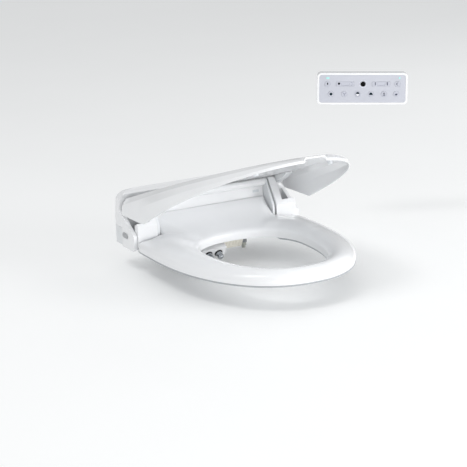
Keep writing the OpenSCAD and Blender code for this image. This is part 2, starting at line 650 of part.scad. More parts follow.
module nozzle(side_of) {
    head = 16;
    color("silver") dipped() translate([side_of * nozzle_gap / 2, 0, -1]) difference() {
        union() {
            translate([0, 10, 0]) rotate([90, 0, 0])
                cylinder(r = nozzle_r, h = chute_len + 10 + head - nozzle_r, $fn = round_n);
            translate([0, -chute_len - head + nozzle_r, 0]) sphere(r = nozzle_r, $fn = 32);
        }
        for (d = [0, 5]) translate([0, -chute_len - head + 6 + d, nozzle_r - 2])
            cylinder(r = 0.9, h = 4, $fn = 16);
    }
}
// Geared motors on the rear end of the nozzle housing
module nozzle_drives() {
    color("dimgray") dipped() for (s = [-1, 1]) translate([s * nozzle_gap / 2, 0, chute_deep]) {
        box([-9, 4, 0], [9, 12, 5.5]);
        // Motor can with its shaft boss and terminals
        translate([0, 13, 3.6]) rotate([90, 0, 0]) cylinder(r = 3.5, h = 8, $fn = round_n);
        for (x = [-6, 6]) translate([x, 8, 5.5]) cylinder(r = 1.6, h = 1.2, $fn = 24);
        box([-3, 6, 5.5], [3, 10, 6.8]);
    }
}
duct_x0 = nozzle_x + chute_half + 3;
duct_w = 44;
chute_reach = max(abs(nozzle_x) + chute_half, duct_x0 + duct_w) + 3;
// Height of the chute's upper face at y, and the (y, z) of a point in the chute's own plane
function chute_top(y) = chute_pivot[1] + (y - chute_pivot[0]) * tan(nozzle_dip)
    + chute_deep / cos(nozzle_dip);
function dipped_point(y, z) = chute_pivot + [y * cos(nozzle_dip) - z * sin(nozzle_dip),
    y * sin(nozzle_dip) + z * cos(nozzle_dip)];
module duct_dipped() {
    translate([duct_x0, chute_pivot[0], chute_pivot[1]]) rotate([nozzle_dip, 0, 0]) children();
}
module duct_space(grow) {
    duct_dipped() box([-grow, -chute_len, -chute_deep - grow], [duct_w + grow, 40, chute_deep + grow]);
}
duct_len = 104;
module dryer_duct() {
    color("white") duct_dipped() difference() {
        box([0, -duct_len, -chute_deep], [duct_w, 2, chute_deep]);
        box([2, -duct_len - 1, -chute_deep + 2], [duct_w - 2, 3, chute_deep - 2]);
    }
}
module dryer_flap() {
    ribs = 5;
    color("ivory") duct_dipped() translate([0, -duct_len - gap, chute_deep - 1.5]) {
        box([0.5, -2, -2 * chute_deep + 3], [duct_w - 0.5, 0, 0]);
        translate([0.5, -1, 0]) rotate([0, 90, 0]) cylinder(r = 1, h = duct_w - 1, $fn = 24);
        for (i = [1:ribs]) let (x = duct_w * i / (ribs + 1))
            box([x - 0.6, -2.7, -2 * chute_deep + 4], [x + 0.6, -1, -2]);
    }
}
fan_x0 = duct_x0 + 5;
fan_x1 = fan_x0 + 34;
module dryer_fan() {
    eye = [back_y - 17, floor_top + 13];
    fan_r = 13;
    mouth = dipped_point(2 + gap, chute_deep - 1); // upper edge of the duct's mouth
    color("dimgray") difference() {
        union() {
            side(fan_x0, fan_x1) {
                translate(eye) circle(fan_r, $fn = round_n);
                // Outlet that turns up and forward to the mouth of the duct
                polygon([dipped_point(2 + gap, 1 - chute_deep), dipped_point(4, -chute_deep),
                    eye + [-9, 6], eye, eye + [fan_r, 0], [eye[0] + fan_r, mix(eye[1], mouth[1], 0.45)],
                    [eye[0], mouth[1] + 2.5], mouth + [9, 4], mouth]);
            }
            rod_x(fan_x0 - 6, fan_x0 + 1, 8, eye[0], eye[1]);
            rod_x(fan_x0 - 8, fan_x0 - 6, 2.5, eye[0], eye[1]);
        }
        // Air inlet behind its guard
        rod_x(fan_x1 - 4, fan_x1 + 1, 9, eye[0], eye[1]);
    }
    color("dimgray") {
        for (a = [0, 60, 120]) translate([fan_x1 - 1.5, eye[0], eye[1]]) rotate([a, 0, 0])
            translate([0, -9.5, -0.7]) cube([1.5, 19, 1.4]);
        rod_x(fan_x1 - 5, fan_x1, 3, eye[0], eye[1]);
    }
}
board_x0 = tank_x1 + 4;
board_x1 = fan_x0 - 10;
module control_board() {
    face = back_y - 8;
    step = 15;
    places = floor((board_x1 - board_x0) / step);
    color("seagreen") {
        box([board_x0, face, floor_top], [board_x1, face + 1.6, tank_top]);
        // Relays below, capacitors above them and a row of plugs along the top
        for (i = [0:places - 1]) let (x = board_x0 + 2 + step * i) {
            box([x, face - 8, floor_top + 6], [x + 11, face, floor_top + 16]);
            translate([x + 5.5, face, floor_top + 26]) rotate([90, 0, 0])
                cylinder(r = 4, h = 10, $fn = round_n);
            box([x, face - 5, tank_top - 9], [x + 9, face, tank_top - 3]);
        }
    }
}
supply_w = min(32, pump_x0 - fan_x1 - 12);
supply_x = (fan_x1 + pump_x0 - 8 - supply_w) / 2;
module power_supply() {
    mid = [supply_x + supply_w / 2, back_y - 18];
    bottom = floor_top + 3;
    core = supply_w * 0.4;          // half width of the laminated core
    color("goldenrod") {
        translate([mid[0], mid[1], bottom]) {
            box([-supply_w / 2, -9, 0], [supply_w / 2, 9, 1.6]);
            for (x = [-core, core], y = [-6, 6]) translate([x, y, -3]) cylinder(r = 1.6, h = 3.5, $fn = 24);
            // Laminated core around its winding
            difference() {
                box([-core, -6, 1], [core, 6, 26]);
                for (s = [-1, 1]) translate([s * core / 2, 0, 13.5])
                    cube([core * 0.42, 20, 15], center = true);
            }
            translate([0, 0, 6]) cylinder(r = core * 0.68, h = 15, $fn = round_n);
        }
    }
}
gland_at = [back_y - 10, max(hinge_z - 42, split_z + 8)];
gland_r = 5;
module cord_hole() {
    rod_x(unit_half - 20, unit_half + 1, gland_r + gap, gland_at[0], gland_at[1]);
}
module cord_gland() {
    color("gray") difference() {
        union() {
            rod_x(unit_half - 8, unit_half + 4, gland_r, gland_at[0], gland_at[1]);
            rod_x(unit_half + gap, unit_half + 4, gland_r + 1.5, gland_at[0], gland_at[1]);
        }
        rod_x(unit_half - 9, unit_half + 5, gland_r - 2, gland_at[0], gland_at[1]);
    }
}
module status_window() {
    x1 = tongue_half - 9;
    color("black") box([x1 - 14, panel_y - 0.6, channel_z - 7], [x1, panel_y - 0.1, channel_z - 2]);
}
button_at = [back_y - 47, 27];
button_r = 5;
button_long = 7;                    // half the distance between the button's round ends
module button_pad(x0, x1, r) {
    side(x0, x1) translate(button_at) {
        for (d = [-1, 1]) translate([button_long * d, 0]) circle(r, $fn = round_n);
        translate([-button_long, -r]) square([2 * button_long, 2 * r]);
    }
}
module button_hole() {
    button_pad(-unit_half - 1, -unit_half + 20, button_r + gap);
}
module release_button() {
    y = button_at[0];
    z = button_at[1];
    color("silver") difference() {
        union() {
            button_pad(-unit_half - 1.5, -unit_half + cheek_t - 1, button_r);
            // Stem that pushes the latch
            rod_x(-unit_half + cheek_t - 2, -unit_half + 19, 3, y, z);
            rod_x(-unit_half + 15, -unit_half + 17, 4.5, y, z);
        }
        button_pad(-unit_half - 2, -unit_half - 0.9, button_r - 2);
    }
}
// Deodoriser cartridge that pulls out of the unit's side
cartridge_low = [unit_half - 40, back_y - 19, hinge_z - 32];
cartridge_high = [unit_half + 1.5, back_y - 7, hinge_z - 16];
module cartridge(grow) {
    box([cartridge_low[0], cartridge_low[1] - grow, cartridge_low[2] - grow],
        [cartridge_high[0], cartridge_high[1] + grow, cartridge_high[2] + grow]);
}
module filter_cartridge() {
    skin = 1.5;
    low = cartridge_low;
    high = cartridge_high;
    color("dimgray") difference() {
        cartridge(0);
        // Chamber for the charcoal, open at the inner end, and the grille in the cap
        box([low[0] - 1, low[1] + skin, low[2] + skin], [high[0] - 3, high[1] - skin, high[2] - skin]);
        for (i = [0:3]) box([high[0] - 4, low[1] + 2.5, low[2] + 2.8 + 3 * i],
            [high[0] + 1, high[1] - 2.5, low[2] + 4 + 3 * i]);
    }
    color("dimgray") for (i = [1:4]) let (x = mix(low[0], high[0], i / 5))
        box([x - 0.5, low[1] + 1, low[2] + 1], [x + 0.5, high[1] - 1, high[2] - 1]);
}
module drain_plug() {
    color("gray") translate([drain_at[0], drain_at[1], 1]) difference() {
        union() {
            cylinder(r = 6, h = floor_z - 1 - gap, $fn = round_n);
            cylinder(r = drain_r, h = floor_top - 1 - gap, $fn = round_n);
        }
        translate([-7, -0.8, -1]) cube([14, 1.6, 2]);
    }
}
screw_r = 1.8;
module at_screws() {
    for (x = [-unit_half + 22, -plate_half - 9, plate_half + 9, unit_half - 22]) translate([x, back_y - 8, 0])
        children();
}
module cover_screws() {
    color("silver") at_screws() difference() {
        union() {
            translate([0, 0, 1.6]) cylinder(r = 3.4, h = floor_z - 1.9, $fn = 24);
            translate([0, 0, 2]) cylinder(r = screw_r, h = floor_top - 2.2, $fn = 24);
        }
        for (a = [0, 90]) translate([0, 0, 1.6]) rotate(a) cube([4, 0.9, 2], center = true);
    }
}

// ---- fixings on the pan ----
plate_t = floor_z - gap;
slider = [30, 20];
slider_play = 8;                    // travel of a slider to each side
plate_half = bolt_pitch / 2 + slider[0] / 2 + slider_play + 3.5;
drain_at = [-plate_half - 23, back_y - 20];
drain_r = 4;                        // radius of the drain plug's stem
head_r = 7;
module at_bolts() {
    for (s = [-1, 1]) translate([s * bolt_pitch / 2, 0, 0]) children();
}
module mounting_plate() {
    plate_front = -14;
    plate_rear = 30;
    window = [bolt_pitch / 2 - slider[0] / 2 - slider_play - 12, 22];
    color("gainsboro") difference() {
        block([-plate_half, plate_front, 0], [plate_half, plate_rear, plate_t], 5);
        at_bolts() box([-slider[0] / 2 - slider_play, -slider[1] / 2, -1],
            [slider[0] / 2 + slider_play, slider[1] / 2, plate_t + 1]);
        both() box([5, plate_front + 8, -1], [window[0], plate_front + 8 + window[1], plate_t + 1]);
        // Thin edges that the rails of the unit hold
        both() box([plate_half - 6, plate_front - 1, -1], [plate_half + 1, plate_rear + 1, 2 * gap + rail_t]);
        chute(1.5 + gap, 80);
        duct_space(gap);
    }
}
module bolt_sliders() {
    color("dimgray") at_bolts() difference() {
        box([-slider[0] / 2, -slider[1] / 2 + gap, 0], [slider[0] / 2, slider[1] / 2 - gap, plate_t]);
        translate([0, 0, -1]) cylinder(r = 4.2, h = 10, $fn = round_n);
        translate([0, 0, plate_t - 2.2]) cylinder(r = head_r + gap, h = 5, $fn = round_n);
    }
}
module fixing_bolts() {
    color("silver") at_bolts() difference() {
        union() {
            translate([0, 0, -bolt_drop]) cylinder(r = 4, h = bolt_drop + plate_t - 1, $fn = round_n);
            translate([0, 0, plate_t - 2.2]) cylinder(r = head_r, h = 2, $fn = round_n);
        }
        translate([0, 0, plate_t - 1.8]) cylinder(r = 2.5, h = 3, $fn = 6);
    }
}
module expansion_bushes() {
    color("dimgray") at_bolts() difference() {
        translate([0, 0, -bolt_drop + 12]) cylinder(r = bush_r, h = bolt_drop - 12, $fn = round_n);
        translate([0, 0, -bolt_drop]) cylinder(r = 4.2, h = bolt_drop + 1, $fn = round_n);
    }
}
module captive_nuts() {
    color("silver") at_bolts() translate([0, 0, -bolt_drop + 5]) difference() {
        cylinder(r = bush_r - 0.4, h = 7, $fn = 6);
        translate([0, 0, -1]) cylinder(r = 4.2, h = 9, $fn = round_n);
    }
}

// ---- remote ----
module placed() {
    translate(remote_at) rotate([0, remote_lean, remote_turn]) children();
}
// A plate with rounded corners, drawn from y0 back to y1
module pad(w, h, r, y0, y1) {
    translate([0, y1, 0]) rotate([90, 0, 0]) linear_extrude(y1 - y0) union() {
        square([w - 2 * r, h], center = true);
        square([w, h - 2 * r], center = true);
        for (x = [-1, 1], z = [-1, 1]) translate([x * (w / 2 - r), z * (h / 2 - r)]) circle(r, $fn = round_n);
    }
}
module face_disc(x, z, r, y0, y1) {
    translate([x, y1, z]) rotate([90, 0, 0]) cylinder(r = r, h = y1 - y0, $fn = round_n);
}
corner_r = 9;
front_f = -remote_t / 2;            // front face of the handset
split_f = 0;                        // joint between its two shells
board_f = front_f + 6.6;            // front face of the circuit board
battery_r = 5.2;
remote_wall = 2;
face_deep = 1.2;                    // recess for the face panel
face_w = remote_w - 8;
face_h = remote_h - 8;
key_out = 0.3;                      // how far a key stands out of the face
key_fit = 0.25;
top_row = 10.2;
low_row = -11.2;
low_keys = [-66.2, -37.9, -9.9, 18, 45.7, 71.5];
key_r = 6;
stop_r = 6.5;
rocker = [38, 9];
rocker_x = [-36.5, 39.2];
power_x = -73.6;
night_x = 74;
module key_hole(x, z, r) { face_disc(x, z, r + key_fit, front_f - 1, front_f + remote_wall + 2); }
module key_holes() {
    for (x = low_keys) key_hole(x, low_row, key_r);
    key_hole(power_x, top_row, key_r);
    key_hole(night_x, top_row, key_r);
    key_hole(1.1, top_row, stop_r);
    for (x = rocker_x) translate([x, 0, top_row])
        box([-rocker[0] / 2 - key_fit, front_f - 1, -rocker[1] / 2 - key_fit],
            [rocker[0] / 2 + key_fit, front_f + remote_wall + 2, rocker[1] / 2 + key_fit]);
}
module remote_front() {
    color("white") placed() difference() {
        pad(remote_w, remote_h, corner_r, front_f, split_f);
        pad(remote_w - 2 * remote_wall, remote_h - 2 * remote_wall, corner_r - remote_wall,
            front_f + remote_wall + face_deep, split_f + 1);
        pad(face_w, face_h, corner_r - 4, front_f - 1, front_f + face_deep);
        key_holes();
    }
}
module remote_face() {
    color("lavender") placed() difference() {
        pad(face_w - 2 * key_fit, face_h - 2 * key_fit, corner_r - 4, front_f + 0.3, front_f + face_deep);
        key_holes();
    }
}
bay = [56, remote_h / 2 + 1, 14];   // width of the battery bay, and its reach below and above
module remote_back() {
    color("white") placed() difference() {
        pad(remote_w, remote_h, corner_r, split_f, remote_t / 2);
        pad(remote_w - 2 * remote_wall, remote_h - 2 * remote_wall, corner_r - remote_wall,
            split_f - 1, remote_t / 2 - remote_wall);
        box([-bay[0] / 2, remote_t / 2 - remote_wall - 1, -bay[1]], [bay[0] / 2, remote_t / 2 + 1, bay[2]]);
        for (x = hook_x) box([x - hook_w / 2 - 1, remote_t / 2 - 4, -remote_h],
            [x + hook_w / 2 + 1, remote_t / 2 + 1, hook_h / 2 + gap]);
    }
}
module remote_board() {
    rear = board_f + 1.6;
    color("seagreen") placed() {
        box([-88, board_f, -28], [88, rear, 28]);
        // Controller, crystal, transmitter diodes and the springs and plates of the cells
        box([-66, rear, -4], [-48, rear + 1.6, 14]);
        box([-44, rear, -2], [-40, rear + 3, 8]);
        for (x = [52, 70]) translate([x, rear + 3, 24.5]) cylinder(r = 2.5, h = 6, $fn = 24);
        for (x = [52, 70]) box([x - 2.5, rear - 0.5, 22], [x + 2.5, rear + 4.5, 24.6]);
        for (s = [-1, 1], z = [-14, 0]) {
            box([s * 23.4 - 0.4, rear, z - 4], [s * 23.4 + 0.4, rear + 9, z + 4]);
        }
    }
}
module remote_batteries() {
    color("steelblue") placed() for (z = [-14, 0]) rod_x(-22, 22, battery_r, board_f + 2 + battery_r, z);
}
module battery_door() {
    rear = remote_t / 2;
    low = -remote_h / 2;
    color("whitesmoke") placed() difference() {
        box([-bay[0] / 2 + key_fit, rear - 1.8, low], [bay[0] / 2 - key_fit, rear, bay[2] - key_fit]);
        // Finger grooves
        for (i = [0:4]) box([-10, rear - 0.6, low + 6 + 2.4 * i], [10, rear + 1, low + 7.2 + 2.4 * i]);
    }
}
hook_x = [-60, 60];
hook_w = 16;
hook_h = 12;
holder_screws = 90;                 // distance between the holder's two screws
module remote_holder() {
    y0 = remote_t / 2 + gap;
    color("white") placed() difference() {
        union() {
            pad(150, 48, 6, y0, y0 + 5);
            for (x = hook_x) {
                box([x - hook_w / 2, y0 - 1.7 - gap, -hook_h / 2], [x + hook_w / 2, y0, hook_h / 2]);
            }
        }
        for (s = [-1, 1]) face_disc(s * holder_screws / 2, 0, 2.2, y0 - 1, y0 + 6);
    }
}
key_back = front_f + 3.5;           // front of a key's flange, behind the shell's wall
module round_key(x, z, r) {
    placed() {
        face_disc(x, z, r, front_f - key_out, key_back + 0.4);
        face_disc(x, z, r + 1, key_back, key_back + 0.8);
    }
}
// A rocker tilts about an upright bar behind its middle
rocker_pin = front_f + 4.6;
module rocker_key(x) {
    w = rocker[0] / 2;
    h = rocker[1] / 2;
    placed() translate([x, 0, top_row]) {
        box([-w, front_f - key_out, -h], [w, front_f + 3, h]);
        box([-2, front_f + 3, -h], [2, rocker_pin, h]);
        translate([0, rocker_pin, -h - 3]) cylinder(r = 1.1, h = 2 * h + 6, $fn = 24);
    }
}

mounting_plate();
bolt_sliders();
fixing_bolts();
expansion_bushes();
captive_nuts();
base_housing();
top_cover();
front_panel();
side_cheeks();
hinge_brackets();
hinge_shafts();
soft_close_dampers();
water_tank();
solenoid_valve();
water_pump();
water_inlet();
nozzle_housing();
nozzle_drives();
nozzle(-1);  // rear_nozzle
nozzle(1);  // front_nozzle
dryer_fan();
dryer_duct();
dryer_flap();
control_board();
power_supply();
cord_gland();
status_window();
release_button();
filter_cartridge();
drain_plug();
cover_screws();
seat_shell();
seat_base();
seat_heater();
seat_hinge_arms();
seat_buffers();
lid_shell();
lid_hinge_arms();
lid_buffers();
remote_holder();
remote_back();
remote_front();
remote_face();
remote_board();
remote_batteries();
battery_door();
color("black") round_key(1.1, top_row, stop_r);  // stop_key
color("lightgray") rocker_key(rocker_x[0]);  // pressure_rocker
color("lightgray") rocker_key(rocker_x[1]);  // position_rocker
color("lightgray") round_key(power_x, top_row, key_r);  // power_key
color("lightgray") round_key(night_x, top_row, key_r);  // night_key
color("lightgray") round_key(low_keys[0], low_row, key_r);  // rear_wash_key
color("lightgray") round_key(low_keys[1], low_row, key_r);  // front_wash_key
color("lightgray") round_key(low_keys[2], low_row, key_r);  // move_key
color("lightgray") round_key(low_keys[3], low_row, key_r);  // dryer_key
color("lightgray") round_key(low_keys[4], low_row, key_r);  // water_temp_key
color("lightgray") round_key(low_keys[5], low_row, key_r);  // seat_temp_key
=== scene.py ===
import json
import math
import bmesh
import bpy
from mathutils import Matrix, Vector

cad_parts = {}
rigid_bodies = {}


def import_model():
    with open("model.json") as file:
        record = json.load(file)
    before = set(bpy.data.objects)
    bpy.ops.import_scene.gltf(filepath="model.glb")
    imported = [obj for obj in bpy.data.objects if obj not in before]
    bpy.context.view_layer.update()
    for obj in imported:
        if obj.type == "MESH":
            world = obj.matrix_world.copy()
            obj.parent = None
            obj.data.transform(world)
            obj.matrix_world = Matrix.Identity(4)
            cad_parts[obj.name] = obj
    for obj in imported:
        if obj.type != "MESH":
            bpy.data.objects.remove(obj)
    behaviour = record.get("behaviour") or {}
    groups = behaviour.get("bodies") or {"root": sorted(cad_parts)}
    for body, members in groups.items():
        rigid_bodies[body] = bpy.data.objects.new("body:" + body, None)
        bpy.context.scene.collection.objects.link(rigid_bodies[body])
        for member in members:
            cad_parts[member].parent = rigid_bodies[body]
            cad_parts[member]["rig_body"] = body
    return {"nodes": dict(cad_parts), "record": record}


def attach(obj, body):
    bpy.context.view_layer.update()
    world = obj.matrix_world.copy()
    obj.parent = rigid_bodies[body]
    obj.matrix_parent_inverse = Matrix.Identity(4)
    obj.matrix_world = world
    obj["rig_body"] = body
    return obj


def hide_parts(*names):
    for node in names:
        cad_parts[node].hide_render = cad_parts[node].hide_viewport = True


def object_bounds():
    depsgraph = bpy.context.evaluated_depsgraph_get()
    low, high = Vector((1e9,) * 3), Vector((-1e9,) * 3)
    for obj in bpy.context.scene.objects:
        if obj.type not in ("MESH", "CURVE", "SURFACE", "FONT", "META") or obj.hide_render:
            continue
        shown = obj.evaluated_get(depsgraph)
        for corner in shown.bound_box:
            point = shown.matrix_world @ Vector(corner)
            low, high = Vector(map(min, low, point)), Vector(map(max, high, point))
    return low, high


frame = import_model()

# An electric bidet seat with its lid part open, and its handset on a wall holder. The seat's and the lid's
# shells get a smooth skin, the other mouldings get rounded edges, and every other CAD node keeps its mesh and
# gets its finish. The signs and lamps on the handset and the wipers of the nozzles are added here.

CAD_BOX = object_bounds()
RECORD = frame["record"]
SLOT_OF = {part["node"]: part["material_slot"] for part in RECORD["subparts"]}
MM = 0.001


# ---- small tools ----
def linear(code):
    """An sRGB hex colour as linear RGBA."""
    channels = [int(code[i:i + 2], 16) / 255 for i in (1, 3, 5)]
    return tuple(c / 12.92 if c <= 0.04045 else ((c + 0.055) / 1.055) ** 2.4 for c in channels) + (1.0,)


def repeats(size_mm):
    """A texture's scale, which counts how often a pattern of size_mm fits into a metre."""
    return 1000 / size_mm


def add(tree, kind, links=None, **settings):
    """Adds a node. Links map an input's name to a socket or a plain value."""
    made = tree.nodes.new(kind)
    for name, value in settings.items():
        setattr(made, name, value)
    for key, value in (links or {}).items():
        if isinstance(value, bpy.types.NodeSocket):
            tree.links.new(value, made.inputs[key])
        else:
            made.inputs[key].default_value = value
    return made


def new_material(name):
    """A material with an empty tree, and object coordinates, so that its pattern moves with the piece."""
    made = bpy.data.materials.new(name)
    made.use_nodes = True
    tree = made.node_tree
    tree.nodes.clear()
    return made, tree, add(tree, "ShaderNodeTexCoord").outputs["Object"]


# ---- materials ----
IOR = {"abs": 1.54, "polypropylene": 1.50, "acetal": 1.48, "acrylic": 1.49, "polycarbonate": 1.58,
       "silicone": 1.43, "varnish": 1.5, "soft_touch": 1.2}
FLOW_MM = 45            # clouds where the melt ran into the mould
HANDLED_MM = 18         # patches that hands and wiping leave
DRIFT_AND_GLINT_MM = 6           # drift in a plated surface, and the size of the chrome's painted dark reflections
TOOL_MM = 2.4           # about three rings of the turning tool, coarser than real so that they show
DUST_MM = 9             # dust that rubber holds
RUBBER_GRAIN_MM = 0.8
TRACK_MM = 9            # four rows of copper tracks
HAZE_MM = 12            # duller and glossier patches of the solder mask
CRINKLE_MM = 5          # crinkles of pressed foil
MESH_MM = 0.4           # threads of the printing screen, coarser than real so that they show
LAMP_MM = 3             # how far a lamp's spot spreads in its lens
FLOOR_MM = 300          # drift of the floor's tone


def moulded_plastic(name, light, dark, rough, grain_mm, depth_mm, ior, coat=0.0):
    """Injection-moulded plastic: flow clouds in its tone, handled patches in its gloss, and the tool's grain
    as a shallow bump."""
    made, tree, place = new_material(name)
    flow = add(tree, "ShaderNodeTexNoise", {"Vector": place, "Scale": repeats(FLOW_MM), "Detail": 2.0})
    tone = add(tree, "ShaderNodeMix", {"Factor": flow.outputs["Fac"], "A": linear(light), "B": linear(dark)},
               data_type="RGBA")
    handled = add(tree, "ShaderNodeTexNoise", {"Vector": place, "Scale": repeats(HANDLED_MM), "Detail": 4.0,
                                               "Roughness": 0.6})
    gloss = add(tree, "ShaderNodeMapRange", {"Value": handled.outputs["Fac"], "To Min": rough * 0.8,
                                             "To Max": rough * 1.25})
    grain = add(tree, "ShaderNodeTexNoise", {"Vector": place, "Scale": repeats(grain_mm), "Detail": 2.0})
    relief = add(tree, "ShaderNodeBump", {"Height": grain.outputs["Fac"], "Distance": depth_mm * MM})
    shader = add(tree, "ShaderNodeBsdfPrincipled", {
        "Base Color": tone.outputs["Result"], "Roughness": gloss.outputs["Result"], "IOR": ior,
        "Coat Weight": coat, "Coat Roughness": 0.06, "Normal": relief.outputs["Normal"]})
    add(tree, "ShaderNodeOutputMaterial", {"Surface": shader.outputs["BSDF"]})
    return made


def plated_metal(name, light, dark, rough, pit_mm, depth_mm):
    """Metal whose plating wanders a little in tone and gloss, with fine pits. On chrome its darker clouds are
    painted dark reflections.
    """
    made, tree, place = new_material(name)
    drift_and_glints = add(tree, "ShaderNodeTexNoise", {"Vector": place, "Scale": repeats(DRIFT_AND_GLINT_MM), "Detail": 4.0,
                                              "Roughness": 0.6})
    # On chrome the dark tone is painted dark reflections, not a drift of the plating
    tone = add(tree, "ShaderNodeMix", {"Factor": drift_and_glints.outputs["Fac"], "A": linear(light),
                                       "B": linear(dark)}, data_type="RGBA")
    gloss = add(tree, "ShaderNodeMapRange", {"Value": drift_and_glints.outputs["Fac"], "To Min": rough * 0.7,
                                             "To Max": rough * 1.4})
    pits = add(tree, "ShaderNodeTexNoise", {"Vector": place, "Scale": repeats(pit_mm), "Detail": 3.0})
    relief = add(tree, "ShaderNodeBump", {"Height": pits.outputs["Fac"], "Distance": depth_mm * MM})
    shader = add(tree, "ShaderNodeBsdfPrincipled", {
        "Base Color": tone.outputs["Result"], "Roughness": gloss.outputs["Result"], "Metallic": 1.0,
        "Normal": relief.outputs["Normal"]})
    add(tree, "ShaderNodeOutputMaterial", {"Surface": shader.outputs["BSDF"]})
    return made


def turned_steel(name, light, dark, rough):
    """Turned stainless steel: rings left by the tool around the X axis."""
    made, tree, place = new_material(name)
    rings = add(tree, "ShaderNodeTexWave", {"Vector": place, "Scale": repeats(TOOL_MM), "Distortion": 1.5,
                                            "Detail": 2.0}, bands_direction="X")
    tone = add(tree, "ShaderNodeMix", {"Factor": rings.outputs["Fac"], "A": linear(light), "B": linear(dark)},
               data_type="RGBA")
    gloss = add(tree, "ShaderNodeMapRange", {"Value": rings.outputs["Fac"], "To Min": rough * 0.8,
                                             "To Max": rough * 1.2})
    relief = add(tree, "ShaderNodeBump", {"Height": rings.outputs["Fac"], "Distance": 0.02 * MM,
                                          "Strength": 0.4})
    shader = add(tree, "ShaderNodeBsdfPrincipled", {
        "Base Color": tone.outputs["Result"], "Roughness": gloss.outputs["Result"], "Metallic": 1.0,
        "Normal": relief.outputs["Normal"]})
    add(tree, "ShaderNodeOutputMaterial", {"Surface": shader.outputs["BSDF"]})
    return made


def rubber(name, light, dark, rough):
    """Moulded rubber: dusty patches and a soft matt grain."""
    made, tree, place = new_material(name)
    dust = add(tree, "ShaderNodeTexNoise", {"Vector": place, "Scale": repeats(DUST_MM), "Detail": 5.0,
                                            "Roughness": 0.65})
    tone = add(tree, "ShaderNodeMix", {"Factor": dust.outputs["Fac"], "A": linear(light), "B": linear(dark)},
               data_type="RGBA")
    gloss = add(tree, "ShaderNodeMapRange", {"Value": dust.outputs["Fac"], "To Min": rough * 0.85,
                                             "To Max": min(1.0, rough * 1.1)})
    grain = add(tree, "ShaderNodeTexNoise", {"Vector": place, "Scale": repeats(RUBBER_GRAIN_MM),
                                             "Detail": 3.0})
    relief = add(tree, "ShaderNodeBump", {"Height": grain.outputs["Fac"], "Distance": 0.03 * MM})
    shader = add(tree, "ShaderNodeBsdfPrincipled", {
        "Base Color": tone.outputs["Result"], "Roughness": gloss.outputs["Result"],
        "Normal": relief.outputs["Normal"]})
    add(tree, "ShaderNodeOutputMaterial", {"Surface": shader.outputs["BSDF"]})
    return made


def circuit_board(name):
    """Solder mask over copper tracks, which show as paler, slightly raised lines."""
    made, tree, place = new_material(name)
    tracks = add(tree, "ShaderNodeTexBrick", {
        "Vector": place, "Scale": repeats(TRACK_MM), "Mortar Size": 0.045, "Mortar": (1, 1, 1, 1),
        "Color1": (0, 0, 0, 1), "Color2": (0, 0, 0, 1)}, offset=0.35)
    tone = add(tree, "ShaderNodeMix", {"Factor": tracks.outputs["Color"], "A": linear("#1d5a34"),
                                       "B": linear("#3f8a58")}, data_type="RGBA")
    haze = add(tree, "ShaderNodeTexNoise", {"Vector": place, "Scale": repeats(HAZE_MM), "Detail": 3.0})
    gloss = add(tree, "ShaderNodeMapRange", {"Value": haze.outputs["Fac"], "To Min": 0.25, "To Max": 0.4})
    relief = add(tree, "ShaderNodeBump", {"Height": tracks.outputs["Color"], "Distance": 0.04 * MM})
    shader = add(tree, "ShaderNodeBsdfPrincipled", {
        "Base Color": tone.outputs["Result"], "Roughness": gloss.outputs["Result"],
        "Normal": relief.outputs["Normal"]})
    add(tree, "ShaderNodeOutputMaterial", {"Surface": shader.outputs["BSDF"]})
    return made


def heating_foil(name):
    """Aluminium foil pressed over a heating wire, so it is crinkled and ridged."""
    made, tree, place = new_material(name)
    crinkle = add(tree, "ShaderNodeTexVoronoi", {"Vector": place, "Scale": repeats(CRINKLE_MM)})
    tone = add(tree, "ShaderNodeMix", {"Factor": crinkle.outputs["Distance"], "A": linear("#c9ccce"),
                                       "B": linear("#a9adb0")}, data_type="RGBA")
    gloss = add(tree, "ShaderNodeMapRange", {"Value": crinkle.outputs["Distance"], "To Min": 0.22,
                                             "To Max": 0.45})
    relief = add(tree, "ShaderNodeBump", {"Height": crinkle.outputs["Distance"], "Distance": 0.2 * MM})
    shader = add(tree, "ShaderNodeBsdfPrincipled", {
        "Base Color": tone.outputs["Result"], "Roughness": gloss.outputs["Result"], "Metallic": 1.0,
        "Normal": relief.outputs["Normal"]})
    add(tree, "ShaderNodeOutputMaterial", {"Surface": shader.outputs["BSDF"]})
    return made


def screen_ink(name, light, dark):
    """Screen-printed ink: a thin matt film that is a little uneven where the mesh lets it through."""
    made, tree, place = new_material(name)
    mesh = add(tree, "ShaderNodeTexNoise", {"Vector": place, "Scale": repeats(MESH_MM), "Detail": 2.0})
    tone = add(tree, "ShaderNodeMix", {"Factor": mesh.outputs["Fac"], "A": linear(light), "B": linear(dark)},
               data_type="RGBA")
    gloss = add(tree, "ShaderNodeMapRange", {"Value": mesh.outputs["Fac"], "To Min": 0.6, "To Max": 0.75})
    relief = add(tree, "ShaderNodeBump", {"Height": mesh.outputs["Fac"], "Distance": 0.004 * MM})
    shader = add(tree, "ShaderNodeBsdfPrincipled", {
        "Base Color": tone.outputs["Result"], "Roughness": gloss.outputs["Result"],
        "Specular IOR Level": 0.2, "Normal": relief.outputs["Normal"]})
    add(tree, "ShaderNodeOutputMaterial", {"Surface": shader.outputs["BSDF"]})
    return made


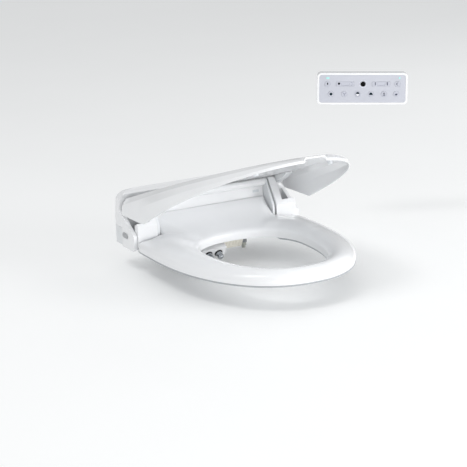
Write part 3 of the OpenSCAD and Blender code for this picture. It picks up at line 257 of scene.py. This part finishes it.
def lamp_lens(name, light, dark):
    """Tinted acrylic over an indicator lamp, which glows a little by itself."""
    made, tree, place = new_material(name)
    glow = add(tree, "ShaderNodeTexNoise", {"Vector": place, "Scale": repeats(LAMP_MM), "Detail": 2.0})
    tone = add(tree, "ShaderNodeMix", {"Factor": glow.outputs["Fac"], "A": linear(light), "B": linear(dark)},
               data_type="RGBA")
    relief = add(tree, "ShaderNodeBump", {"Height": glow.outputs["Fac"], "Distance": 0.003 * MM})
    shader = add(tree, "ShaderNodeBsdfPrincipled", {
        "Base Color": tone.outputs["Result"], "Roughness": 0.15, "IOR": IOR["acrylic"],
        "Emission Color": linear(dark), "Emission Strength": 0.05, "Normal": relief.outputs["Normal"]})
    add(tree, "ShaderNodeOutputMaterial", {"Surface": shader.outputs["BSDF"]})
    return made


MATERIALS = {
    # ABS from a polished tool: even gloss with a faint orange peel
    "gloss_white_abs": moulded_plastic("moulded_gloss_abs", "#f4f5f6", "#eff0f2", rough=0.16, grain_mm=2.2,
                                       depth_mm=0.010, ior=IOR["abs"], coat=0.25),
    # Polypropylene from a polished tool: a little softer in its gloss than ABS
    "seat_pp": moulded_plastic("moulded_gloss_polypropylene", "#f3f4f5", "#eeeff1", rough=0.20, grain_mm=2.6,
                               depth_mm=0.012, ior=IOR["polypropylene"], coat=0.2),
    # Polypropylene from a spark-eroded tool: satin, with a fine grain
    "housing_pp": moulded_plastic("moulded_satin_polypropylene", "#e9ebed", "#e1e4e6", rough=0.38,
                                  grain_mm=0.9, depth_mm=0.02, ior=IOR["polypropylene"]),
    # Acetal: dense white with a soap-like sheen
    "arm_pom": moulded_plastic("moulded_acetal", "#eff0f2", "#e8eaec", rough=0.24, grain_mm=1.6,
                               depth_mm=0.012, ior=IOR["acetal"]),
    # Grey ABS with a satin grain that a thumb doesn't mark
    "grey_button": moulded_plastic("moulded_satin_abs_grey", "#b4b6b8", "#a7a9ac", rough=0.35, grain_mm=0.8,
                                   depth_mm=0.02, ior=IOR["abs"]),
    # Black ABS: dull black with a grain
    "black_abs": moulded_plastic("moulded_black_abs", "#1a1b1d", "#131416", rough=0.38, grain_mm=0.8,
                                 depth_mm=0.02, ior=IOR["abs"]),
    # Undyed polypropylene: milky, a little green
    "tank_pp": moulded_plastic("moulded_natural_polypropylene", "#dcdedb", "#cfd3d0", rough=0.34,
                               grain_mm=1.4, depth_mm=0.02, ior=IOR["polypropylene"]),
    # Ivory ABS: warmer than the shells round it
    "ivory_abs": moulded_plastic("moulded_ivory_abs", "#efece2", "#e8e3d5", rough=0.28, grain_mm=1.2,
                                 depth_mm=0.015, ior=IOR["abs"]),
    # Enamelled copper wire: varnish over close windings
    "copper_winding": moulded_plastic("varnished_winding", "#a46a2c", "#7c4a1b", rough=0.3, grain_mm=0.7,
                                      depth_mm=0.1, ior=IOR["varnish"]),
    # Polycarbonate film printed on its back: an even cool grey under a fine matt skin
    "face_film": moulded_plastic("printed_polycarbonate_film", "#c4c6cf", "#bec0ca", rough=0.34,
                                 grain_mm=0.6, depth_mm=0.006, ior=IOR["polycarbonate"]),
    # Moulded silicone: the film's grey, a little more matt
    "key_grey": moulded_plastic("silicone_key", "#c2c4ce", "#bcbec9", rough=0.44, grain_mm=0.9,
                                depth_mm=0.01, ior=IOR["silicone"]),
    # Moulded silicone with a soft-touch skin: deep black that throws little light back
    "key_black": moulded_plastic("silicone_key_black", "#050607", "#030304", rough=0.5, grain_mm=0.9,
                                 depth_mm=0.01, ior=IOR["soft_touch"]),
    # Frosted acrylic: pale, with a clear polished front
    "smoked_window": moulded_plastic("frosted_acrylic", "#dfe3e6", "#d4d9dd", rough=0.12, grain_mm=3.0,
                                     depth_mm=0.002, ior=IOR["acrylic"]),
    # Shrink sleeve round a cell: dark, with a slight gloss
    "battery_sleeve": moulded_plastic("printed_battery_sleeve", "#3b4048", "#2c3037", rough=0.25,
                                      grain_mm=1.2, depth_mm=0.01, ior=IOR["varnish"]),
    # Turned stainless steel: bright rings round the shaft
    "stainless": turned_steel("turned_stainless_steel", "#cfd2d4", "#b3b7ba", rough=0.24),
    # Chrome plate: a near mirror, with darker clouds that are painted dark reflections
    "chrome": plated_metal("chrome_plate", "#c9ccd0", "#7e8388", rough=0.08, pit_mm=1.5, depth_mm=0.002),
    # Zinc plate: dull and slightly yellow
    "zinc": plated_metal("zinc_plated_steel", "#c4c5bf", "#a4a69f", rough=0.32, pit_mm=0.6, depth_mm=0.02),
    # Silicone rubber: pale and matt
    "rubber": rubber("moulded_silicone_rubber", "#dde0e3", "#cdd1d5", rough=0.6),
    # EPDM rubber: black with a dusty bloom
    "black_rubber": rubber("moulded_epdm_rubber", "#2a2a2b", "#1a1a1b", rough=0.75),
    # Solder mask: green, with the tracks showing through
    "circuit_board": circuit_board("solder_masked_board"),
    # Aluminium foil: bright crinkles
    "foil": heating_foil("pressed_aluminium_foil"),
}

# Nodes whose finish differs from the rest of their slot
NODE_MATERIALS = {
    # Grey rubber of the expansion bushes, paler than the black rubber of their slot
    "expansion_bushes": rubber("moulded_grey_rubber", "#8f9294", "#808385", rough=0.7),
    # Grey polypropylene of the seat's base, which shows as a thin line under the white ring. Its darkness is
    # partly painted shadow, standing in for the shadow gap under the ring
    "seat_base": moulded_plastic("moulded_grey_polypropylene_painted_shadow_line", "#afb2b6", "#a4a8ab", rough=0.42, grain_mm=0.9,
                                 depth_mm=0.02, ior=IOR["polypropylene"]),
}

# Inks of the handset's signs, and the tinted lens of its two lamps
INKS = {"black": screen_ink("screen_ink_black", "#1c1e24", "#131419"),
        "teal": screen_ink("screen_ink_dark_teal", "#0b2833", "#081f29"),
        "grey": screen_ink("screen_ink_mid_grey", "#5f6272", "#565969"),
        "pale": screen_ink("screen_ink_pale_grey", "#8d90a0", "#848797"),
        "white": screen_ink("screen_ink_white", "#f6f7fa", "#eff0f4"),
        "halo": screen_ink("screen_ink_light_grey", "#d9dbe4", "#d3d5de"),
        "lamp": lamp_lens("tinted_acrylic_lens", "#b4efe9", "#9fe6e0")}


# ---- making pieces ----
WELD_MM = 0.002                     # corners this close are one corner
FLAT_ANGLE = math.radians(0.6)      # faces that meet flatter than this are one face
ROUND_ANGLE = math.radians(28)      # edges of a moulding that meet sharper than this are rounded
FOLD_ANGLE = math.radians(15)       # a shell's folds lie between this angle and the next
SHARP_ANGLE = math.radians(38)
FACET_ANGLE = math.radians(40)      # triangles that meet flatter than this can be halves of one quad
ANY_SHAPE = math.radians(180)       # whatever the shape of that quad
SKIN_LEVELS = 2


def into_scene(name, data):
    """A new object of a mesh, a camera or a light, put into the scene."""
    made = bpy.data.objects.new(name, data)
    bpy.context.scene.collection.objects.link(made)
    return made


def material_of(node):
    """A CAD node's material: its own where it has one, and that of its slot otherwise."""
    return NODE_MATERIALS.get(node) or MATERIALS[SLOT_OF[node]]


def coat_with(piece, material):
    """Gives a piece one material in place of those it has."""
    piece.data.materials.clear()
    piece.data.materials.append(material)


def shade(piece, angle=35):
    """Smooth shading, with sharp edges over the angle in degrees."""
    piece.data.shade_smooth()
    piece.data.set_sharp_from_angle(angle=math.radians(angle))


def open_copy(node):
    """A copy of a CAD node as a new piece, and its mesh open for work, with its double corners joined."""
    name = node + "_finished"
    mesh = frame["nodes"][node].data.copy()
    mesh.name = name
    work = bmesh.new()
    work.from_mesh(mesh)
    bmesh.ops.remove_doubles(work, verts=work.verts, dist=WELD_MM * MM)
    return into_scene(name, mesh), work


def finish_piece(piece, node):
    """Lets a new piece stand for a CAD node: its body and its material."""
    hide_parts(node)
    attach(piece, frame["nodes"][node]["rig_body"])
    coat_with(piece, material_of(node))


def added_piece(name, work, material, body):
    """A piece that the CAD model doesn't have, from a mesh under work."""
    bmesh.ops.recalc_face_normals(work, faces=work.faces)
    mesh = bpy.data.meshes.new(name)
    work.to_mesh(mesh)
    work.free()
    mesh.materials.append(material)
    piece = into_scene(name, mesh)
    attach(piece, body)
    return piece


def rounded(node, radius_mm):
    """A CAD node with its triangles joined back into whole faces and its moulded edges rounded."""
    piece, work = open_copy(node)
    bmesh.ops.dissolve_limit(work, angle_limit=FLAT_ANGLE, verts=work.verts, edges=work.edges)
    work.to_mesh(piece.data)
    work.free()
    bevel = piece.modifiers.new("edge_radius", "BEVEL")
    bevel.width = radius_mm * MM
    bevel.segments = 3
    bevel.limit_method = "ANGLE"
    bevel.angle_limit = ROUND_ANGLE
    bevel.harden_normals = True
    shade(piece)
    finish_piece(piece, node)


def smooth_shell(node, radius_mm, crispness):
    """A faceted CAD shell as a smooth subdivided skin. A small radius holds its sharp edges. Its softer folds
    keep the given share of their crispness, and are shaded as folds unless it is nought."""
    piece, work = open_copy(node)
    bmesh.ops.join_triangles(work, faces=work.faces, angle_face_threshold=FACET_ANGLE,
                             angle_shape_threshold=ANY_SHAPE)
    crease = work.edges.layers.float.new("crease_edge")
    for edge in work.edges:
        if len(edge.link_faces) == 2 and FOLD_ANGLE < edge.calc_face_angle() < SHARP_ANGLE:
            edge[crease] = crispness
            edge.smooth = crispness == 0
    work.to_mesh(piece.data)
    work.free()
    piece.data.shade_smooth()
    bevel = piece.modifiers.new("edge_radius", "BEVEL")
    bevel.width = radius_mm * MM
    bevel.segments = 2
    bevel.profile = 0.6
    bevel.limit_method = "ANGLE"
    bevel.angle_limit = SHARP_ANGLE
    skin = piece.modifiers.new("skin", "SUBSURF")
    skin.levels = SKIN_LEVELS
    skin.render_levels = SKIN_LEVELS
    finish_piece(piece, node)


# ---- camera, light and floor ----
SENSOR_MM = 36
LENS_MM = 133.17
CAMERA_PLACE = Vector((-1.4866, -3.0730, 0.9496))
CAMERA_RIGHT = Vector((0.88778828, -0.45839479, -0.04130612))
CAMERA_UP = Vector((0.15867559, 0.2205925, 0.96237259))
CAMERA_REACH = 20  # metres to the farthest point that it sees

LIT_POINT = Vector((0, -0.1, 0.07))  # the middle of the unit and the seat
# Each soft box: its place and its width and height in metres, and its watts
SOFT_BOXES = {
    "key": ((1.9, -2.2, 0.5), (1.4, 0.8), 40),     # low at the front right, so it reaches under the lid
    "side": ((2.2, 0.8, 1.4), (1.2, 1.2), 4),
    "top": ((-1.2, -0.3, 2.5), (0.8, 0.8), 14),
    "fill": ((-0.7, -2.8, 0.4), (1.6, 0.5), 15),   # from the front, for the panel and the ring's side
}
ROOM_COLOUR = "#f8f9fa"
ROOM_GLOW = (0.35, 0.81)  # at the horizon, and overhead
FLOOR_WIDTH = 12
FLOOR_GAP = 0.5 * MM      # the floor lies this far under the lowest piece
FLOOR_GLOW = 0.12


def make_camera():
    data = bpy.data.cameras.new("camera")
    data.sensor_width = SENSOR_MM
    data.lens = LENS_MM
    data.clip_end = CAMERA_REACH
    camera = into_scene("camera", data)
    turn = Matrix((CAMERA_RIGHT, CAMERA_UP, CAMERA_RIGHT.cross(CAMERA_UP))).transposed().to_4x4()
    camera.matrix_world = Matrix.Translation(CAMERA_PLACE) @ turn
    bpy.context.scene.camera = camera


def soft_box(name, place, size, watts):
    """A rectangular lamp turned to the lit point."""
    data = bpy.data.lights.new(name, "AREA")
    data.shape = "RECTANGLE"
    data.size, data.size_y = size
    data.energy = watts
    light = into_scene(name, data)
    light.location = place
    light.rotation_euler = (LIT_POINT - Vector(place)).to_track_quat("-Z", "Y").to_euler()


def make_room():
    """A pale room whose light comes more from above than from the sides."""
    world = bpy.data.worlds.new("studio")
    world.use_nodes = True
    tree = world.node_tree
    way = add(tree, "ShaderNodeTexCoord").outputs["Generated"]
    height = add(tree, "ShaderNodeSeparateXYZ", {"Vector": way}).outputs["Z"]
    glow = add(tree, "ShaderNodeMapRange", {"Value": height, "From Min": 0.0, "From Max": 1.0,
                                            "To Min": ROOM_GLOW[0], "To Max": ROOM_GLOW[1]})
    sky = tree.nodes["Background"]
    sky.inputs["Color"].default_value = linear(ROOM_COLOUR)
    tree.links.new(glow.outputs["Result"], sky.inputs["Strength"])
    bpy.context.scene.world = world


def make_floor():
    """A matt painted floor, which gives a little light back to the undersides."""
    low, high = CAD_BOX
    bpy.ops.mesh.primitive_plane_add(size=FLOOR_WIDTH, location=(0, 0, low[2] - FLOOR_GAP))
    floor = bpy.context.object
    floor.name = "floor"
    made, tree, place = new_material("pale_floor")
    drift = add(tree, "ShaderNodeTexNoise", {"Vector": place, "Scale": repeats(FLOOR_MM), "Detail": 3.0})
    tone = add(tree, "ShaderNodeMix", {"Factor": drift.outputs["Fac"], "A": linear("#f4f5f5"),
                                       "B": linear("#f1f2f2")}, data_type="RGBA")
    shader = add(tree, "ShaderNodeBsdfPrincipled", {
        "Base Color": tone.outputs["Result"], "Roughness": 0.9, "Emission Color": linear("#ffffff"),
        "Emission Strength": FLOOR_GLOW})
    add(tree, "ShaderNodeOutputMaterial", {"Surface": shader.outputs["BSDF"]})
    floor.data.materials.append(made)


# ---- outlines of printed signs, in mm from the middle of a key ----
def arc(x, z, radius, start, end, steps=20, flat=1.0, lean=0.0):
    """Points round a circle or a flattened, leaning oval."""
    turn = math.radians(lean)
    points = []
    for i in range(steps + 1):
        angle = math.radians(start + (end - start) * i / steps)
        u, v = radius * math.cos(angle), radius * flat * math.sin(angle)
        points.append((x + u * math.cos(turn) - v * math.sin(turn),
                       z + u * math.sin(turn) + v * math.cos(turn)))
    return points


def disc(x, z, radius, flat=1.0, lean=0.0):
    """A whole round or oval. Its last point stops one step short of its first."""
    return arc(x, z, radius, 0, 345, 23, flat, lean)


def line(points, width):
    """The outline of a line drawn with a pen of the given width."""
    left, right = [], []
    for i, (x, z) in enumerate(points):
        x0, z0 = points[max(i - 1, 0)]
        x1, z1 = points[min(i + 1, len(points) - 1)]
        run = math.hypot(x1 - x0, z1 - z0)
        dx, dz = (z0 - z1) / run * width / 2, (x1 - x0) / run * width / 2
        left.append((x + dx, z + dz))
        right.append((x - dx, z - dz))
    return left + right[::-1]


def ring(radius, width):
    return line(arc(0, 0, radius, 0, 359, 40), width)


def capsule(x, z, half_w, half_h):
    return arc(x, z + half_h - half_w, half_w, 0, 180, 10) + arc(x, z - half_h + half_w, half_w, 180, 360, 10)


def wave(z):
    """A level line with nearly two ripples in it."""
    steps = [n * 0.4 - 2.4 for n in range(13)]
    return [(x, 0.45 * math.sin(x * 2.2) + z) for x in steps]


# ---- printing on the handset ----
def joint_axis(name):
    joint = next(j for j in RECORD["behaviour"]["joints"] if j["name"] == name)
    return Vector(joint["axis"]).normalized()


KEY_PUSH = joint_axis("stop_key_press")
HANDSET_UP = joint_axis("handset_lift")
HANDSET_RIGHT = KEY_PUSH.cross(HANDSET_UP)
INK_GAP_MM = 0.01       # ink lies this far off the face, so that the two don't share a plane
INK_MM = 0.06           # thicker than real ink, so that its edge shows close up
LENS_PROUD_MM = 0.3     # how far the lamps' lenses stand out
LAMP_ROW_MM = 23        # the lamps' height over the middle of the face
LONG_LAMP_MM = (-75.6, -71.0)  # the two ends of the long lamp, across from the middle
ROUND_LAMP_MM = 78      # the round lamp, across from the middle
STOP_RING_MM = (7.7, 1.7)  # radius and width of the light ring round the stop key


def front_middle(node):
    """The middle of a handset piece's front, found from its own corners."""
    corners = [vert.co for vert in frame["nodes"][node].data.vertices]
    across = [corner.dot(HANDSET_RIGHT) for corner in corners]
    along = [corner.dot(HANDSET_UP) for corner in corners]
    front = min(corner.dot(KEY_PUSH) for corner in corners)
    return (HANDSET_RIGHT * (min(across) + max(across)) / 2 + HANDSET_UP * (min(along) + max(along)) / 2
            + KEY_PUSH * front)


def printed(name, node, middle, shapes, ink, thick_mm=INK_MM):
    """A piece of thin flat shapes on a handset piece's front. Shapes are outlines in mm from the middle."""
    work = bmesh.new()
    for shape in shapes:
        rims = []
        for lift in (INK_GAP_MM, INK_GAP_MM + thick_mm):
            rims.append([work.verts.new(middle + (HANDSET_RIGHT * x + HANDSET_UP * z - KEY_PUSH * lift) * MM)
                         for x, z in shape])
        back, front = rims
        work.faces.new(front)
        work.faces.new(back[::-1])
        for i in range(len(shape)):
            j = (i + 1) % len(shape)
            work.faces.new((back[i], back[j], front[j], front[i]))
    added_piece(name, work, INKS[ink], frame["nodes"][node]["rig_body"])


def print_keys():
    """The signs on the keys: generic shapes, each an ink and its outlines."""
    crescent = arc(0, 0, 2.9, 62, 298) + arc(1.35, 0, 2.45, 285, 75)
    bracket = line([(-8.5, 1.6), (-8.5, -2.6), (8.5, -2.6), (8.5, 1.6)], 0.55)
    corner_high = line([(12, 3), (14.6, 3), (14.6, 0.8)], 0.6)
    corner_low = line([(14.6, -0.6), (14.6, -2.8), (12, -2.8)], 0.6)
    fork = [line([(0, -4), (0, 0.2)], 1.0), line([(-3.6, 3), (-0.35, 0.1)], 1.0),
            line([(0.35, 0.1), (3.6, 3)], 1.0)]
    signs = {
        "power_key": [("black", [capsule(0, 0.8, 1.2, 2.5)])],
        "night_key": [("grey", [crescent])],
        "rear_wash_key": [("teal", [disc(0, 0, 3.1)]), ("halo", [ring(4.1, 0.7)])],
        "front_wash_key": [("pale", fork)],
        "move_key": [("teal", [arc(0, 0, 3.6, 0, 180, flat=1.15)]),
                     ("white", [arc(0, -0.2, 2.8, 180, 360, flat=1.3)]), ("grey", [ring(4.5, 0.4)])],
        "dryer_key": [("teal", [arc(0, -1.9, 3.8, 0, 180, flat=1.4)])],
        "water_temp_key": [("black", [[(-1.9, 0.2), (1.9, 0.2), (0, 4.2)]]),
                           ("grey", [line(wave(-1.6), 0.9), line(wave(-3.2), 0.9)])],
        "seat_temp_key": [("grey", [disc(0, -1.0, 3.0, 0.62, 22)])],
        "pressure_rocker": [("black", [disc(-13.2, 0.8, 2.3, 1.1)]),
                            ("pale", [bracket, corner_high, corner_low])],
        "position_rocker": [("grey", [capsule(-12.3, 0.6, 0.9, 3.4), capsule(12.9, 0.6, 1.1, 3.4)]),
                            ("pale", [bracket])],
        "stop_key": [("halo", [ring(6.0, 0.9)])],
    }
    for node, prints in signs.items():
        for ink, shapes in prints:
            printed(f"{node}_print_{ink}", node, front_middle(node), shapes, ink)


def print_face():
    """The light ring round the stop key, and the lenses of the two lamps."""
    face = front_middle("remote_face")
    stop = front_middle("stop_key") - face
    x, z = stop.dot(HANDSET_RIGHT) / MM, stop.dot(HANDSET_UP) / MM
    round_stop = [(u + x, v + z) for u, v in ring(*STOP_RING_MM)]
    printed("stop_key_surround", "remote_face", face, [round_stop], "halo")
    left, right = LONG_LAMP_MM
    long_lamp = arc(left, LAMP_ROW_MM, 1.6, 90, 270, 10) + arc(right, LAMP_ROW_MM, 1.6, 270, 450, 10)
    round_lamp = disc(ROUND_LAMP_MM, LAMP_ROW_MM, 1.9)
    printed("indicator_lamps", "remote_face", face, [long_lamp, round_lamp], "lamp", LENS_PROUD_MM)


# ---- wipers of the nozzles ----
def turned_ring(name, profile, middle, axis, body, slot, sides=64):
    """A ring turned round an axis. Its profile is a closed loop of (radius, place along the axis) in mm."""
    across = axis.orthogonal().normalized()
    beside = axis.cross(across)
    work = bmesh.new()
    rounds = []
    for i in range(sides):
        angle = 2 * math.pi * i / sides
        out = across * math.cos(angle) + beside * math.sin(angle)
        rounds.append([work.verts.new(middle + (out * radius + axis * along) * MM)
                       for radius, along in profile])
    for i, first in enumerate(rounds):
        second = rounds[(i + 1) % sides]
        for j in range(len(profile)):
            k = (j + 1) % len(profile)
            work.faces.new((first[j], first[k], second[k], second[j]))
    shade(added_piece(name, work, MATERIALS[slot], body))


def nozzle_wipers():
    """Rubber lips on the housing's mouths, which wipe the nozzles as they come out. Their black is also
    painted shade: dark rings that stand in for the dark glints and shadow round the nozzles.
    """
    axis = joint_axis("rear_nozzle_slide")
    side = Vector((1, 0, 0))
    rise = side.cross(axis)
    stem_mm = 15
    mouth = max(vert.co.dot(axis) for vert in frame["nodes"]["nozzle_housing"].data.vertices)
    for node in ("rear_nozzle", "front_nozzle"):
        corners = [vert.co for vert in frame["nodes"][node].data.vertices]
        tip = max(corner.dot(axis) for corner in corners)
        stem = [corner for corner in corners if corner.dot(axis) > tip - stem_mm * MM]
        left, right = min(c.dot(side) for c in stem), max(c.dot(side) for c in stem)
        low, high = min(c.dot(rise) for c in stem), max(c.dot(rise) for c in stem)
        radius = (right - left) / 2 / MM
        middle = side * (left + right) / 2 + rise * (low + high) / 2 + axis * mouth
        # Out from the stem, and out of the mouth
        lip = [(radius + 0.15, 1.9), (radius + 0.5, 2.0), (radius + 1.7, 0.9), (radius + 1.9, 0.05),
               (radius + 0.6, 0.05)]
        # black rubber, whose dark rings are also painted shade round the nozzles
        turned_ring(node + "_wiper", lip, middle, axis, "unit", "black_rubber")


# ---- the whole seat ----
# Shells with a skin: the radius of their sharp edges in mm, and how crisp their folds stay
SHELLS = {"seat_shell": (0.8, 0.0), "lid_shell": (0.9, 0.85)}
# Mouldings with rounded edges, by their radius in mm
EDGE_MM = {
    "top_cover": 1.2, "side_cheeks": 1.2, "hinge_brackets": 0.8, "front_panel": 0.6, "base_housing": 0.6,
    "seat_hinge_arms": 1.2, "lid_hinge_arms": 0.8, "nozzle_housing": 1.5, "dryer_duct": 0.5,
    "dryer_flap": 0.4, "release_button": 0.5, "mounting_plate": 0.6, "seat_base": 0.5, "seat_buffers": 1.0,
    "lid_buffers": 0.8, "remote_back": 0.8, "remote_front": 0.9, "battery_door": 0.3, "remote_holder": 0.8}
PLAIN_ANGLE = 30  # degrees over which an edge of a node that keeps its mesh stays sharp

make_camera()
make_room()
for name, (place, size, watts) in SOFT_BOXES.items():
    soft_box(name, place, size, watts)
make_floor()

for node, (radius_mm, crispness) in SHELLS.items():
    smooth_shell(node, radius_mm, crispness)
for node, radius_mm in EDGE_MM.items():
    rounded(node, radius_mm)
for node, piece in frame["nodes"].items():
    if node not in SHELLS and node not in EDGE_MM:
        coat_with(piece, material_of(node))
        shade(piece, PLAIN_ANGLE)

print_keys()
print_face()
nozzle_wipers()

bpy.context.scene.view_settings.view_transform = "Standard"
